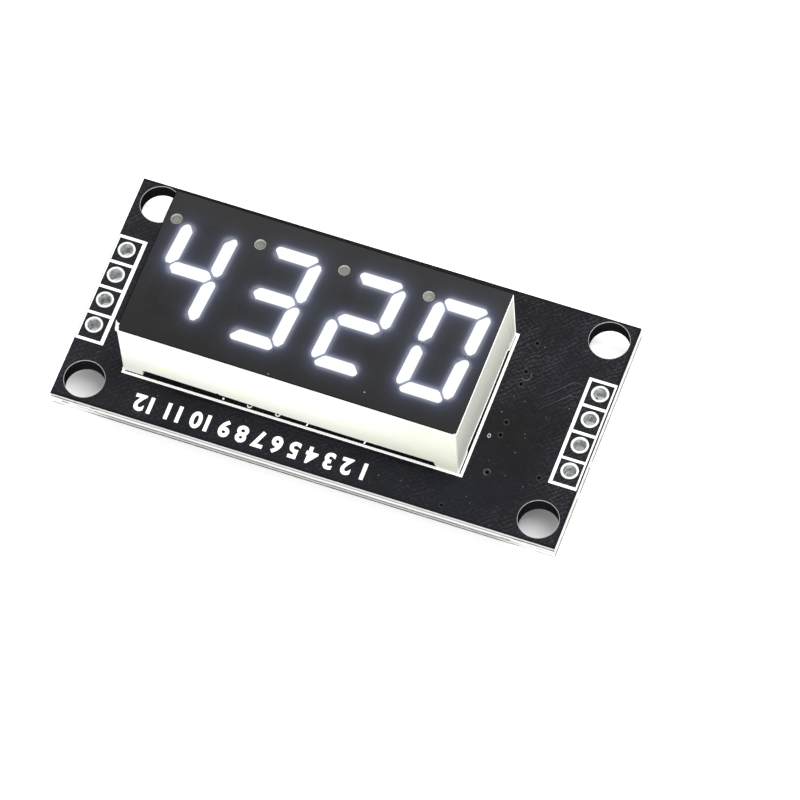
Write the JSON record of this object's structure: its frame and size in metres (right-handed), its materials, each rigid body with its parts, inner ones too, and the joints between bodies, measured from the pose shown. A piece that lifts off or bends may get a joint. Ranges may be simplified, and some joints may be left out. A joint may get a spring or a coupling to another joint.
{
  "type": "seven segment display module",
  "caption": "Small black circuit board with a white multi-digit LED display block, a row of plated header holes at each end and corner mounting holes.",
  "frame": {"origin": "centre of the four mounting holes, on the underside of the circuit board", "axes": "+X along the digits as they are read, +Y to the tops of the digits, +Z out of the display face"},
  "size_m": [0.0451, 0.0219, 0.0107],
  "materials": {
    "solder_mask": "satin black solder mask over glass weave",
    "tinned_copper": "hot-tinned, slightly dull",
    "masked_copper": "plated hole covered by the mask",
    "white_moulding": "satin moulded",
    "black_film": "fine satin",
    "segment_resin": "translucent resin, lit from below",
    "point_resin": "unlit milky resin",
    "carrier_laminate": "bare glass-fibre laminate",
    "led_die": "coated die",
    "tinned_pin": "tin plated",
    "solder": "smooth solder",
    "chip_epoxy": "matt moulded epoxy",
    "capacitor_ceramic": "matt ceramic",
    "resistor_ceramic": "matt ceramic"
  },
  "bodies": {
    "root": {"printed_circuit_board": "solder_mask", "header_pads_left": "tinned_copper", "header_pads_right": "tinned_copper", "via_barrels": "masked_copper", "display_housing": "white_moulding", "face_film": "black_film", "digit_1_segments": "segment_resin", "digit_2_segments": "segment_resin", "digit_3_segments": "segment_resin", "digit_4_segments": "segment_resin", "decimal_points": "point_resin", "led_carrier_board": "carrier_laminate", "led_chips": "led_die", "display_pins_far": "tinned_pin", "display_pins_near": "tinned_pin", "display_hole_plating": "tinned_copper", "display_solder_joints": "solder", "driver_chip_body": "chip_epoxy", "driver_chip_leads": "tinned_pin", "driver_chip_solder": "solder", "capacitor_bodies": "capacitor_ceramic", "capacitor_ends": "tinned_pin", "resistor_bodies": "resistor_ceramic", "resistor_coats": "chip_epoxy", "resistor_ends": "tinned_pin", "passive_solder": "solder", "rear_pads": "tinned_copper"}
  },
  "joints": []
}
